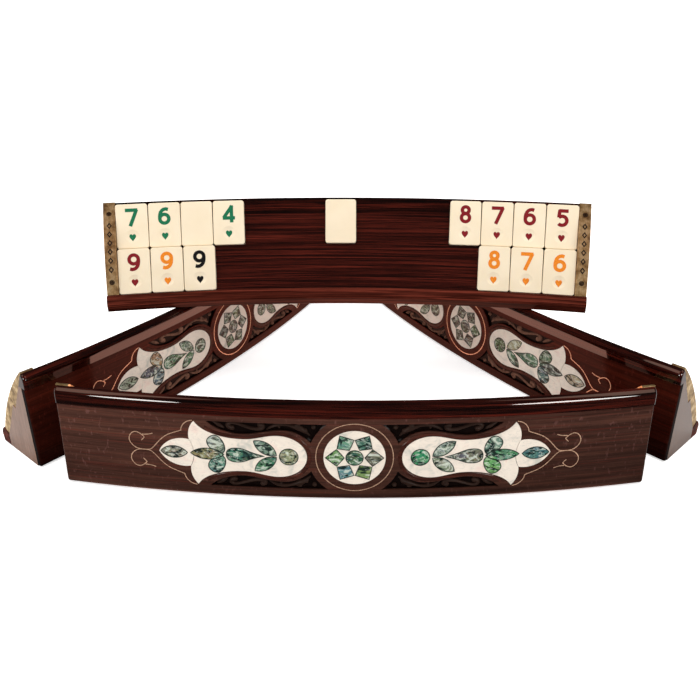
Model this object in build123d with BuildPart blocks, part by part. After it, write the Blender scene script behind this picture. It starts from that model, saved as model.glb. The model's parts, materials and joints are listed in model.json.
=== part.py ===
"""A set of four curved tile racks for rummy or okey, with fifteen tiles standing on one of them.

Every rack is the same: it is made once in its own frame, with the foot line of its back through the
origin, X along the rack, +Y towards the tiles and the arc's centre on +Y. The set is the four
placements of that rack and the tiles on the far one. Millimetres and degrees.
"""
from build123d import *
import os
from math import atan2, cos, degrees, radians, sin

os.makedirs("parts", exist_ok=True)

# --- Driving dimensions of a rack ---------------------------------------------------------------
arc_radius = 1136.0          # plan radius of the foot line of the back
rack_length = 422.0          # along the chord of that foot line
rail_height = 12.4           # from the seam over the panel to the crest
panel_lean_in = 2.6          # how far the panel's top stands in from its foot
panel_thickness = 5.0
foot_round = 3.5             # the rounded edge where the panel meets the table
panel_end_round = 1.5        # the softened upright edges at the panel's ends
rail_end_round = 2.4         # the softened ends of the rail
rail_overhang = 1.7          # how far the rail stands proud of the panel
rail_round_height = 6.4      # the part of that height that is rounded
glue_line = 0.1              # left between curved faces that are glued together
cheek_thickness = 6.0

# --- The two rows of seats for tiles --------------------------------------------------------------
tile_width = 26.7
tile_height = 38.5
tile_thickness = 6.0
tile_corner_radius = 2.2
tile_edge_radius = 0.7
tile_clearance = 0.3         # between a tile and what it stands on or leans on
tile_side_gap = 0.35         # between neighbours in a row, at their narrowest
row_gap = 0.4                # between an upper tile's shelf and the top of the tile under it
dimple_radius = 5.6
dimple_depth = 0.9
dimple_height = 10.7         # of its centre over the tile's foot
seat_lean = 28.0             # from the vertical
seat_setback = 6.5           # of the upper seat's top edge from the foot line of the back
seat_top_drop = 2.4          # of that edge under the crest of the rail
seat_step = 3.8              # how far the lower seat stands in front of the upper one
ledge_lip = 2.8              # of the ledge in front of a lower tile
ledge_seat_height = 9.9      # of a lower tile's back edge over the table
ledge_nose_reach = 4.7       # of the rack's front beyond the lip
ledge_nose_drop = 1.9        # of the nose under the ledge's seat
ledge_foot_setback = 1.9     # of the ledge's foot behind its nose
ledge_nose_round = 5.0
ledge_lip_round = 2.5
ledge_foot_round = 1.5

# --- Brass end stops ------------------------------------------------------------------------------
stop_width = 10.0
stop_bulge = 4.9             # of the stop's convex front beyond its chord
stop_top_width = 1.8
stop_rise = 0.7              # above the crest of the rail
stop_end_inset = 0.4         # from the end of the rack
stop_nose_inset = 1.2        # of its foot from the ledge's front lip
stop_edge_radius = 0.35
screw_head_radius = 1.7
screw_head_height = 0.7
screw_shank_radius = 1.0
screw_shank_length = 4.0
screw_clearance = 0.05
screw_slot_width = 0.5
screw_slot_depth = 0.4
screw_places = (0.13, 0.87)  # along the stop's chord, from its top

# --- Ornament on the back -------------------------------------------------------------------------
ornament_height = 35.2       # of the ornament's axis over the table
inlay_depth = 1.2
inlay_gap = 0.1              # all round each piece of inlay
outline_tolerance = 0.003    # of the pearl's outlines
leaf_gap = 0.15              # between a round leaf and the sprig that it lies behind
wire_width = 0.6
wire_depth = 0.6
carving_depth = 2.2
carving_relief = 1.5         # how high the carved vine stands on the recess floor
carving_margin = 0.35        # between the vine and the recess wall
vine_width = 2.2

medallion_radius = 21.7
medallion_wire_radius = 27.0
medallion_eye_radius = 6.0
rhombus_count = 6
rhombus_inner = 7.1          # the tips and sides of a rhombus, from the medallion's centre
rhombus_outer = 20.4
rhombus_side = 14.3
rhombus_side_angle = 28.6

# Points of the ornament are (distance from the medallion's centre, height over its axis).
cartouche_inner_end = 33.0
cartouche_bulge = (53.5, 16.7)
cartouche_waist = (77.3, 13.1)
petal_back = (98.3, 16.4)
petal_tip = (111.2, 25.9)
petal_side = (115.2, 18.8)
petal_root = (115.6, 10.9)
tip_petal_side = (128.5, 9.5)
cartouche_tip = (137.8, 0)
petal_joint_middle = (112.8, 0)
petal_joint_width = 0.3

berry_centre = (45.8, 0)
berry_radius = 6.5
paired_leaf = ((54.3, 0.7), (70.0, 12.2), 4.4)        # root, tip, bulge of each side
stem_leaves = [((91.3, 0), (115.2, 0), 4.5), ((117.3, 0), (136.6, 0), 4.8)]
drop_tip = (62.8, 0)
drop_side = (82.5, 5.7)
drop_end = (89.6, 0)
round_leaf = [(91.8, 1.5), (91.7, 10.5), (97.0, 15.2), (102.6, 11.4), (100.6, 4.6)]

wire_start = (112.2, 26.2)
wire_shoulder = (117.9, 23.6)
wire_cusp = (120.7, 17.8)
wire_run = [(130.5, 13.6), (138.6, 6.3), (143.6, 0.9)]
wire_meeting = (148.0, 0)
wire_scroll = [(155.0, 1.4), (158.9, 8.0), (153.4, 14.0), (148.0, 10.6), (150.0, 7.4)]
wire_tail = [(148.9, 12.4), (145.0, 12.6), (141.3, 13.7)]

recess_height = 26.4
recess_ring_radius = 32.3
recess_tip_height = 11.2
recess_outer = 102.8

# Points of a recess and its vine are (distance from the medallion's centre, share of recess_height).
recess_foot = [(37.5, 0.652), (46.0, 0.773), (56.0, 0.769), (77.0, 0.633), (92.0, 0.731)]
vine_strands = [
    [(85.0, 0.936), (76.5, 0.879), (69.5, 0.780), (64.6, 0.792)],
    [(60.4, 0.792), (55.0, 0.917), (48.5, 0.947), (42.0, 0.886), (36.6, 0.765), (31.6, 0.636)],
    [(96.6, 0.962), (93.6, 0.886), (90.6, 0.780)],
]
vine_curls = [
    [(85.0, 0.936), (87.6, 0.848), (84.8, 0.780)],
    [(64.6, 0.792), (62.2, 0.871), (64.6, 0.943)],
]
vine_buds = [((39.4, 0.932), 1.7), ((27.6, 0.894), 1.6)]

# --- The set on the table -------------------------------------------------------------------------
left_rack_turn = 60.0
left_rack_offset = (-25.5, 16.3)    # of its near foot corner from the front rack's left one
right_rack_turn = -56.3
right_rack_offset = (25.0, 25.7)    # of its near foot corner from the front rack's right one
far_rack_shift = -7.4               # towards the right
far_rack_setback = 10.9             # beyond the side racks' middles
stacking_clearance = 0.3     # between the far rack and the rails that carry it
middle_tile_offset = 5.5     # of the blank tile in the middle, towards its player's left

# --- Worked out from the sizes above --------------------------------------------------------------
arc_axis = Axis((0, arc_radius, 0), (0, 0, 1))
half_angle = degrees(atan2(rack_length / 2, (arc_radius**2 - (rack_length / 2) ** 2) ** 0.5))
cheek_angle = degrees(cheek_thickness / arc_radius)
stop_angle = degrees(stop_width / arc_radius)
stop_inset_angle = degrees(stop_end_inset / arc_radius)
shelf_down = tile_height + tile_clearance
ledge_down = shelf_down + row_gap + tile_height + tile_clearance
seats_height = ledge_down * cos(radians(seat_lean)) - seat_step * sin(radians(seat_lean))
seat_top_height = ledge_seat_height + seats_height
rack_height = seat_top_height + seat_top_drop
panel_height = rack_height - rail_height
rail_shoulder_height = rack_height - rail_round_height
panel_slope = panel_lean_in / panel_height
middle_tile_angle = degrees(middle_tile_offset / arc_radius)


def seat_point(down, out):
    """A point of the cross-section, from the top of the upper seat: down its slope, out of it."""
    lean = radians(seat_lean)
    depth = seat_setback + down * sin(lean) + out * cos(lean)
    height = seat_top_height - down * cos(lean) + out * sin(lean)
    return (depth, height)


def seat_at_height(height, out=0.0):
    """The point of the upper seat's plane at a height."""
    lean = radians(seat_lean)
    down = (seat_top_height - height + out * sin(lean)) / cos(lean)
    return seat_point(down, out)


def panel_face(height, inset=0.0):
    """A point of the cross-section on the panel's back, or the given depth inside it."""
    return (panel_slope * height + inset, height)


def station(angle):
    """The plane across the rack at an angle from its middle: X is depth from the back, Y is height."""
    turn = radians(angle)
    foot = (arc_radius * sin(turn), arc_radius * (1 - cos(turn)), 0)
    return Plane(origin=foot, x_dir=(-sin(turn), cos(turn), 0), z_dir=(cos(turn), sin(turn), 0))


def foot_corner(side):
    """The corner of the back at its foot, at the right (1) or the left (-1) end of a rack."""
    return Vector(side * rack_length / 2, arc_radius * (1 - cos(radians(half_angle))))


# --- The wooden body ------------------------------------------------------------------------------
ledge_seat = seat_point(ledge_down, seat_step)
ledge_crest = seat_point(ledge_down, seat_step + tile_thickness + ledge_lip)
ledge_nose_depth = ledge_crest[0] + ledge_nose_reach
core_front = seat_point(ledge_down - glue_line / sin(radians(seat_lean)), seat_step)
core_outline = [
    panel_face(0, panel_thickness + glue_line),
    (core_front[0], 0),
    core_front,
    seat_point(shelf_down, seat_step),
    seat_point(shelf_down, 0),
    seat_at_height(panel_height),
    panel_face(panel_height, panel_thickness + glue_line),
]

with BuildPart() as core:
    with BuildSketch(station(-half_angle + cheek_angle)):
        with BuildLine():
            Polyline(*core_outline, close=True)
        make_face()
    revolve(axis=arc_axis, revolution_arc=2 * (half_angle - cheek_angle))

with BuildPart() as end_cheeks:
    with BuildSketch(station(-half_angle), station(half_angle - cheek_angle)):
        with BuildLine():
            Polyline(*core_outline, close=True)
        make_face()
    revolve(axis=arc_axis, revolution_arc=cheek_angle)

with BuildPart() as ledge:
    with BuildSketch(station(-half_angle)):
        with BuildLine():
            Polyline(
                (ledge_seat[0], 0),
                (ledge_nose_depth - ledge_foot_setback, 0),
                (ledge_nose_depth, ledge_seat_height - ledge_nose_drop),
                ledge_crest,
                ledge_seat,
                close=True,
            )
        make_face()
        front_corners = vertices().sort_by(Axis.X)[2:]
        fillet(front_corners.sort_by(Axis.Y)[0], ledge_foot_round)
        fillet(vertices().sort_by(Axis.X)[-1], ledge_nose_round)
        fillet(vertices().sort_by(Axis.Y)[-1], ledge_lip_round)
    revolve(axis=arc_axis, revolution_arc=2 * half_angle)

rail_back = panel_face(panel_height)[0] - rail_overhang
rail_crest = seat_at_height(rack_height)

with BuildPart() as top_rail:
    with BuildSketch(station(-half_angle)):
        with BuildLine():
            Polyline(
                (rail_back, rail_shoulder_height),
                (rail_back, panel_height),
                seat_at_height(panel_height),
                rail_crest,
            )
            EllipticalCenterArc(
                (rail_crest[0], rail_shoulder_height),
                rail_crest[0] - rail_back,
                rack_height - rail_shoulder_height,
                start_angle=90,
                arc_size=90,
            )
        make_face()
    revolve(axis=arc_axis, revolution_arc=2 * half_angle)
    end_faces = faces().filter_by(GeomType.PLANE).sort_by(Axis.X)
    fillet(end_faces[0].edges().sort_by(Axis.Y)[:2] + end_faces[-1].edges().sort_by(Axis.Y)[:2], rail_end_round)

# --- The ornament, drawn flat and wrapped on the curved panel ---------------------------------------
ornament_plane = Plane.XZ.offset(rail_overhang) * Location((0, ornament_height, 0))
wrap_depth = arc_radius * (1 - cos(radians(half_angle))) + panel_lean_in + panel_thickness + rail_overhang

with BuildSketch(ornament_plane) as pearl_fields:
    with BuildLine():
        EllipticalCenterArc(
            (cartouche_bulge[0], 0),
            cartouche_bulge[0] - cartouche_inner_end,
            cartouche_bulge[1],
            start_angle=90,
            arc_size=90,
        )
        Spline(cartouche_bulge, cartouche_waist, tangents=((1, 0), (1, 0)))
        Spline(cartouche_waist, petal_back, petal_tip, tangents=((1, 0), (0.5, 0.87)))
        ThreePointArc(petal_tip, petal_side, petal_root)
        ThreePointArc(petal_root, tip_petal_side, cartouche_tip)
        mirror(about=Plane.XZ)
    make_face()
    mirror(about=Plane.YZ)
    Circle(medallion_radius)

with BuildSketch(ornament_plane) as petal_joints:
    with BuildLine():
        ThreePointArc(petal_root, petal_joint_middle, (petal_root[0], -petal_root[1]))
    trace(line_width=petal_joint_width)
    mirror(about=Plane.YZ)

with BuildSketch(ornament_plane) as sprigs:
    for root, tip, bulge in stem_leaves:
        with BuildLine():
            SagittaArc(root, tip, bulge)
            SagittaArc(tip, root, bulge)
        make_face()
    with BuildLine():
        SagittaArc(paired_leaf[0], paired_leaf[1], paired_leaf[2])
        SagittaArc(paired_leaf[1], paired_leaf[0], paired_leaf[2])
    make_face()
    with BuildLine():
        Spline(drop_tip, drop_side, drop_end, tangents=((1, 0.2), (0, -1)))
        mirror(about=Plane.XZ)
    make_face()
    with Locations(berry_centre):
        Circle(berry_radius)
    mirror(about=Plane.XZ)
    mirror(about=Plane.YZ)

with BuildSketch(ornament_plane) as round_leaves:
    with BuildLine():
        Spline(*round_leaf, periodic=True)
    make_face()
    mirror(about=Plane.XZ)
    mirror(about=Plane.YZ)
    add(offset(sprigs.sketch_local, leaf_gap, mode=Mode.PRIVATE), mode=Mode.SUBTRACT)

rhombus_turn = radians(rhombus_side_angle)
rhombus_corner = (rhombus_side * cos(rhombus_turn), rhombus_side * sin(rhombus_turn))

with BuildSketch(ornament_plane) as rhombi:
    with PolarLocations(0, rhombus_count):
        Polygon(
            (rhombus_inner, 0),
            rhombus_corner,
            (rhombus_outer, 0),
            (rhombus_corner[0], -rhombus_corner[1]),
            align=None,
        )
    Circle(medallion_eye_radius)

with BuildSketch(ornament_plane) as wires:
    with BuildLine():
        ThreePointArc(wire_start, wire_shoulder, wire_cusp)
        Spline(wire_cusp, *wire_run, wire_meeting, tangents=((0.9, -0.44), (1, 0)))
        Spline(wire_meeting, *wire_scroll, tangents=((1, 0), (0.7, -0.7)))
        Spline(*wire_tail)
    trace(line_width=wire_width)
    mirror(about=Plane.XZ)
    mirror(about=Plane.YZ)
    Circle(medallion_wire_radius + wire_width / 2)
    Circle(medallion_wire_radius - wire_width / 2, mode=Mode.SUBTRACT)

recess_ring_foot = (recess_ring_radius**2 - recess_height**2) ** 0.5
recess_tip = ((recess_ring_radius**2 - recess_tip_height**2) ** 0.5, recess_tip_height)
recess_ring_middle = (recess_ring_radius * cos(radians(38)), recess_ring_radius * sin(radians(38)))


def in_recess(points):
    """Points given by their share of the recess's height, as points of the ornament."""
    return [(distance, share * recess_height) for distance, share in points]


with BuildSketch(ornament_plane) as recesses:
    with BuildLine():
        Line((recess_outer, recess_height), (recess_ring_foot, recess_height))
        ThreePointArc((recess_ring_foot, recess_height), recess_ring_middle, recess_tip)
        Spline(recess_tip, *in_recess(recess_foot), (recess_outer, recess_height))
    make_face()
    mirror(about=Plane.XZ)
    mirror(about=Plane.YZ)

with BuildSketch(ornament_plane) as vines:
    for strand in vine_strands:
        with BuildLine():
            Spline(*in_recess(strand))
        trace(line_width=vine_width)
    for curl in vine_curls:
        with BuildLine():
            ThreePointArc(*in_recess(curl))
        trace(line_width=vine_width)
        with Locations(in_recess(curl)[0]):
            Circle(vine_width / 2)
    for bud_centre, bud_radius in vine_buds:
        with Locations(in_recess([bud_centre])):
            Circle(bud_radius)
    mirror(about=Plane.XZ)
    mirror(about=Plane.YZ)
    add(offset(recesses.sketch_local, -carving_margin, mode=Mode.PRIVATE), mode=Mode.INTERSECT)


def panel_band(outer_inset, inner_inset):
    """The corners of a band of the panel's cross-section, between two depths under its back."""
    return [
        panel_face(0, outer_inset),
        panel_face(0, inner_inset),
        panel_face(panel_height, inner_inset),
        panel_face(panel_height, outer_inset),
    ]


with BuildPart() as inlay_pockets:
    extrude(pearl_fields.sketch, amount=wrap_depth, both=True)
    with BuildSketch(station(-half_angle)):
        with BuildLine():
            Polyline(*panel_band(-rail_overhang / 2, inlay_depth), close=True)
        make_face()
    revolve(axis=arc_axis, revolution_arc=2 * half_angle, mode=Mode.INTERSECT)

with BuildPart() as wire_grooves:
    extrude(wires.sketch, amount=wrap_depth, both=True)
    with BuildSketch(station(-half_angle)):
        with BuildLine():
            Polyline(*panel_band(-rail_overhang / 2, wire_depth), close=True)
        make_face()
    revolve(axis=arc_axis, revolution_arc=2 * half_angle, mode=Mode.INTERSECT)

with BuildPart() as carving_recesses:
    extrude(recesses.sketch, amount=wrap_depth, both=True)
    with BuildSketch(station(-half_angle)):
        with BuildLine():
            Polyline(*panel_band(-rail_overhang / 2, carving_depth), close=True)
        make_face()
    revolve(axis=arc_axis, revolution_arc=2 * half_angle, mode=Mode.INTERSECT)

with BuildPart() as back_panel:
    with BuildSketch(station(-half_angle)):
        with BuildLine():
            Polyline(*panel_band(0, panel_thickness), close=True)
        make_face()
        fillet(vertices().group_by(Axis.Y)[0].sort_by(Axis.X)[0], foot_round)
    revolve(axis=arc_axis, revolution_arc=2 * half_angle)
    end_faces = faces().filter_by(GeomType.PLANE).sort_by(Axis.X)
    back_edges = [face.edges().filter_by(GeomType.LINE).sort_by(Axis.Y)[0] for face in (end_faces[0], end_faces[-1])]
    fillet(back_edges, panel_end_round)
    add(inlay_pockets.part, mode=Mode.SUBTRACT)
    add(wire_grooves.part, mode=Mode.SUBTRACT)
    add(carving_recesses.part, mode=Mode.SUBTRACT)


# --- Inlay and carving, each wrapped in its own pocket ----------------------------------------------
with BuildSketch(ornament_plane) as pearl_outlines:
    add(offset(pearl_fields.sketch_local, -inlay_gap, mode=Mode.PRIVATE).to_splines(tolerance=outline_tolerance))

with BuildSketch(ornament_plane) as pearl_openings:
    for shapes in (sprigs, round_leaves, rhombi):
        add(offset(shapes.sketch_local, inlay_gap, mode=Mode.PRIVATE).to_splines(tolerance=outline_tolerance))

with BuildPart() as pearl_inlay:
    extrude(pearl_outlines.sketch, amount=wrap_depth, both=True)
    with BuildSketch(station(-half_angle)):
        with BuildLine():
            Polyline(*panel_band(0, inlay_depth - glue_line), close=True)
        make_face()
    revolve(axis=arc_axis, revolution_arc=2 * half_angle, mode=Mode.INTERSECT)
    extrude(petal_joints.sketch, amount=wrap_depth, both=True, mode=Mode.SUBTRACT)
    extrude(pearl_openings.sketch, amount=wrap_depth, both=True, mode=Mode.SUBTRACT)

with BuildSketch(ornament_plane) as abalone_shapes:
    add(sprigs.sketch_local)
    add(round_leaves.sketch_local)
    add(rhombi.sketch_local)

with BuildPart() as abalone_inlay:
    extrude(abalone_shapes.sketch, amount=wrap_depth, both=True)
    with BuildSketch(station(-half_angle)):
        with BuildLine():
            Polyline(*panel_band(0, inlay_depth - glue_line), close=True)
        make_face()
    revolve(axis=arc_axis, revolution_arc=2 * half_angle, mode=Mode.INTERSECT)

with BuildPart() as wire_inlay:
    extrude(wires.sketch, amount=wrap_depth, both=True)
    with BuildSketch(station(-half_angle)):
        with BuildLine():
            Polyline(*panel_band(0, wire_depth - glue_line), close=True)
        make_face()
    revolve(axis=arc_axis, revolution_arc=2 * half_angle, mode=Mode.INTERSECT)

with BuildPart() as scroll_carving:
    extrude(vines.sketch, amount=wrap_depth, both=True)
    with BuildSketch(station(-half_angle)):
        with BuildLine():
            Polyline(*panel_band(carving_depth - carving_relief, carving_depth), close=True)
        make_face()
    revolve(axis=arc_axis, revolution_arc=2 * half_angle, mode=Mode.INTERSECT)

# --- Brass end stops and their screws ---------------------------------------------------------------
stop_top = (rail_crest[0] + stop_top_width, rack_height + stop_rise)
stop_foot = seat_point(ledge_down - glue_line, seat_step + tile_thickness + ledge_lip - stop_nose_inset)
left_stop_angle = -half_angle + stop_inset_angle
right_stop_angle = half_angle - stop_inset_angle - stop_angle

with BuildPart() as stop_blanks:
    with BuildSketch(station(left_stop_angle), station(right_stop_angle)):
        with BuildLine():
            stop_front = SagittaArc(stop_top, stop_foot, stop_bulge)
            Polyline(
                stop_foot,
                seat_point(ledge_down - glue_line, seat_step + glue_line),
                seat_point(shelf_down, seat_step + glue_line),
                seat_point(shelf_down, glue_line),
                seat_at_height(rack_height, glue_line),
                (seat_at_height(rack_height, glue_line)[0], rack_height + stop_rise),
                stop_top,
            )
        make_face()
    revolve(axis=arc_axis, revolution_arc=stop_angle)


def screw_plane(angle, place):
    """The plane on a stop's convex front where a screw sits, facing out of the brass."""
    point = stop_front @ place
    along = stop_front % place
    across = station(angle)
    origin = across.from_local_coords(Vector(point.X, point.Y))
    down = across.from_local_coords(Vector(point.X + along.X, point.Y + along.Y)) - origin
    return Plane(origin=origin, x_dir=down, z_dir=across.z_dir.cross(down))


screw_seats = [
    screw_plane(edge_angle + stop_angle / 2, place)
    for edge_angle in (left_stop_angle, right_stop_angle)
    for place in screw_places
]

with BuildPart() as screw_holes:
    for screw_seat in screw_seats:
        with BuildSketch(screw_seat.offset(screw_head_height)):
            Circle(screw_shank_radius + screw_clearance)
        extrude(amount=-screw_head_height - screw_shank_length - screw_clearance)

with BuildPart() as end_stops:
    add(stop_blanks.part)
    fillet(faces().filter_by(GeomType.TORUS).edges(), stop_edge_radius)
    add(screw_holes.part, mode=Mode.SUBTRACT)

with BuildPart() as stop_screws:
    for screw_seat in screw_seats:
        with BuildSketch(screw_seat.offset(screw_clearance)):
            Circle(screw_shank_radius)
        extrude(amount=-screw_clearance - screw_shank_length)
        with BuildSketch(screw_seat.offset(screw_clearance)):
            Circle(screw_head_radius)
        extrude(amount=screw_head_height)
        with BuildSketch(screw_seat.offset(screw_clearance + screw_head_height)):
            Rectangle(screw_slot_width, 2 * screw_head_radius)
        extrude(amount=-screw_slot_depth, mode=Mode.SUBTRACT)

# --- Tiles ------------------------------------------------------------------------------------------
with BuildPart() as blank_tile:
    with BuildSketch():
        with Locations((0, tile_height / 2)):
            RectangleRounded(tile_width, tile_height, tile_corner_radius)
    extrude(amount=tile_thickness)
    fillet(faces().sort_by(Axis.Z)[-1].edges() + faces().sort_by(Axis.Z)[0].edges(), tile_edge_radius)

dimple_ball_radius = (dimple_radius**2 + dimple_depth**2) / (2 * dimple_depth)

with BuildPart() as numbered_tile:
    add(blank_tile.part)
    with Locations((0, dimple_height, tile_thickness - dimple_depth + dimple_ball_radius)):
        Sphere(dimple_ball_radius, mode=Mode.SUBTRACT)


def tile_location(angle, foot_down, row_out):
    """Where a tile stands in its rack: its foot's middle, leaning back, with its face to the player."""
    lean = radians(seat_lean)
    across = station(angle)
    foot = seat_point(foot_down - tile_clearance, row_out + tile_clearance)
    face_out = across.x_dir * cos(lean) + Vector(0, 0, sin(lean))
    return Plane(origin=across.from_local_coords(Vector(*foot)), x_dir=across.z_dir * -1, z_dir=face_out).location


def tile_half_angle(foot_down, row_out):
    """Half the angle that a tile takes in its row, measured at its foot's front, where it is tightest."""
    foot_radius = arc_radius - seat_point(foot_down, row_out + tile_thickness + tile_clearance)[0]
    return degrees((tile_width + tile_side_gap) / 2 / foot_radius)


stop_face_angle = -left_stop_angle - stop_angle
upper_row = (shelf_down, 0)
lower_row = (ledge_down, seat_step)

# Tile name: row, end of the rack (1 is the far rack's left as its player sees it), place from that end.
tile_places = {
    "tile_green_7": (upper_row, 1, 0),
    "tile_green_6": (upper_row, 1, 1),
    "tile_blank_left": (upper_row, 1, 2),
    "tile_green_4": (upper_row, 1, 3),
    "tile_red_9": (lower_row, 1, 0),
    "tile_orange_9": (lower_row, 1, 1),
    "tile_black_9": (lower_row, 1, 2),
    "tile_red_5": (upper_row, -1, 0),
    "tile_red_6": (upper_row, -1, 1),
    "tile_red_7": (upper_row, -1, 2),
    "tile_red_8": (upper_row, -1, 3),
    "tile_orange_6": (lower_row, -1, 0),
    "tile_orange_7": (lower_row, -1, 1),
    "tile_orange_8": (lower_row, -1, 2),
}

# --- The set, centred over the origin -----------------------------------------------------------------
rack_pieces = {
    "core": core,
    "end_cheeks": end_cheeks,
    "back_panel": back_panel,
    "top_rail": top_rail,
    "ledge": ledge,
    "end_stops": end_stops,
    "stop_screws": stop_screws,
    "pearl_inlay": pearl_inlay,
    "abalone_inlay": abalone_inlay,
    "wire_inlay": wire_inlay,
    "scroll_carving": scroll_carving,
}


def beside_front_rack(side, offset, turn):
    """The place of a side rack, turned, with its near foot corner beside the front rack's."""
    middle = foot_corner(side) + Vector(*offset) - foot_corner(side).rotate(Axis.Z, turn)
    return Location(middle, (0, 0, turn))


left_place = beside_front_rack(-1, left_rack_offset, left_rack_turn)
right_place = beside_front_rack(1, right_rack_offset, right_rack_turn)
far_rack_away = (left_place.position.Y + right_place.position.Y) / 2 + far_rack_setback
rack_places = {
    "front_rack": Location((0, 0, 0)),
    "left_rack": left_place,
    "right_rack": right_place,
    "far_rack": Location((far_rack_shift, far_rack_away, rack_height + stacking_clearance), (0, 0, 180)),
}
outline_pieces = (back_panel, top_rail, ledge, end_stops)
set_outline = Compound(
    children=[piece.part.moved(place) for place in rack_places.values() for piece in outline_pieces]
)
set_box = set_outline.bounding_box()
set_middle = Location((-set_box.center().X, -set_box.center().Y, 0))

for rack_name, rack_place in rack_places.items():
    for piece_name, piece in rack_pieces.items():
        placed_piece = piece.part.moved(set_middle * rack_place)
        placed_piece.label = f"{rack_name}_{piece_name}"
        export_step(placed_piece, f"parts/{placed_piece.label}.step")

far_rack_location = set_middle * rack_places["far_rack"]

for tile_name, (row, end, place_in_row) in tile_places.items():
    half_tile = tile_half_angle(*row)
    angle = end * (stop_face_angle - (2 * place_in_row + 1) * half_tile)
    tile = blank_tile if "blank" in tile_name else numbered_tile
    placed_tile = tile.part.moved(far_rack_location * tile_location(angle, *row))
    placed_tile.label = tile_name
    export_step(placed_tile, f"parts/{tile_name}.step")

middle_tile = blank_tile.part.moved(far_rack_location * tile_location(middle_tile_angle, *upper_row))
middle_tile.label = "tile_blank_middle"
export_step(middle_tile, "parts/tile_blank_middle.step")
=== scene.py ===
"""The looks of a set of four curved tile racks with inlaid backs, and of the tiles on one of them.

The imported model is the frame: its woods, inlays, brass and tiles get their finish here. The carving, the
cartouches' beads, the filler lines round the shell, the marks on the brass, and the tiles' numerals and
hearts are added. Metres and radians, unless a comment says millimetres.
"""

import bmesh
import bpy
from math import atan2, cos, hypot, pi, radians, sin, sqrt
from mathutils import Matrix, Vector
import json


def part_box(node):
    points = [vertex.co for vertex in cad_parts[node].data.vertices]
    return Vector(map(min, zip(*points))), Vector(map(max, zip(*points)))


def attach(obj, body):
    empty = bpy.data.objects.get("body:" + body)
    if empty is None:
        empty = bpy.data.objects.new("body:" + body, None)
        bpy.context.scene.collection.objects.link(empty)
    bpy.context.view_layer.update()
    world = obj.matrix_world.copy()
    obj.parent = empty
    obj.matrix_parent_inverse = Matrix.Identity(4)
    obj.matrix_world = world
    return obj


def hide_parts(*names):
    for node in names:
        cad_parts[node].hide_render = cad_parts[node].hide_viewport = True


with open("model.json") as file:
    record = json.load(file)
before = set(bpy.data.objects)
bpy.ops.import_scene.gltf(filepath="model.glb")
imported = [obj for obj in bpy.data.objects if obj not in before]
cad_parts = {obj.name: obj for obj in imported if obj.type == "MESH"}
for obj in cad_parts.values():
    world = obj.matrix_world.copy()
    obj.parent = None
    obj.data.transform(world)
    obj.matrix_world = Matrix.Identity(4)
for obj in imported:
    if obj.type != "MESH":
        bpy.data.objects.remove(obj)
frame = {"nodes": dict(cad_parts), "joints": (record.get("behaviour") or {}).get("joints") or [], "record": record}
nodes = frame["nodes"]
record = frame["record"]
joints = {joint["name"]: joint for joint in frame["joints"]}
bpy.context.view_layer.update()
scene = bpy.context.scene
MM = 0.001

# --- The racks' places and shape ----------------------------------------------------------------
RACKS = ("front_rack", "left_rack", "right_rack", "far_rack")
ARC_RADIUS = 1136 * MM
PANEL_SLOPE = 2.6 / 67.0
ORNAMENT_HEIGHT = 35.2 * MM
CORE_BACK_DEPTH = 5.1 * MM
SEAT_LEAN = radians(28)
FOOT_MOUNT_DEPTH = 30 * MM


def turned_place(place, turn):
    """The matrix from a rack's own frame to the set's: its back foot line's middle, and its turn."""
    return Matrix.Translation(place) @ Matrix.Rotation(turn, 4, "Z")


def rack_frames():
    """Each rack's matrix, from its foot mount and the joint that it slides on, or from its box."""
    mounts = {mount["name"]: mount for mount in record["mounts"]}
    frames = {}
    for rack in RACKS[:3]:
        turn = 0.0
        if rack != "front_rack":
            axis = joints[rack + "_slide"]["axis"]
            turn = atan2(-axis[0], axis[1])
        foot = Vector(mounts[rack + "_foot"]["pos_m"])
        inset = Matrix.Rotation(turn, 3, "Z") @ Vector((0, FOOT_MOUNT_DEPTH, 0))
        frames[rack] = turned_place(foot - inset, turn)
    low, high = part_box("far_rack_core")
    frames["far_rack"] = turned_place(((low.x + high.x) / 2, high.y + CORE_BACK_DEPTH, low.z), pi)
    return frames


rack_frame = rack_frames()
front_place = rack_frame["front_rack"].translation


def on_back(x, height, out=0.0):
    """A point of a rack's curved back in its own frame, at x along it and a height, standing out of it."""
    radius = ARC_RADIUS - PANEL_SLOPE * height + out
    return Vector((x, ARC_RADIUS - sqrt(radius**2 - x**2), height))


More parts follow.
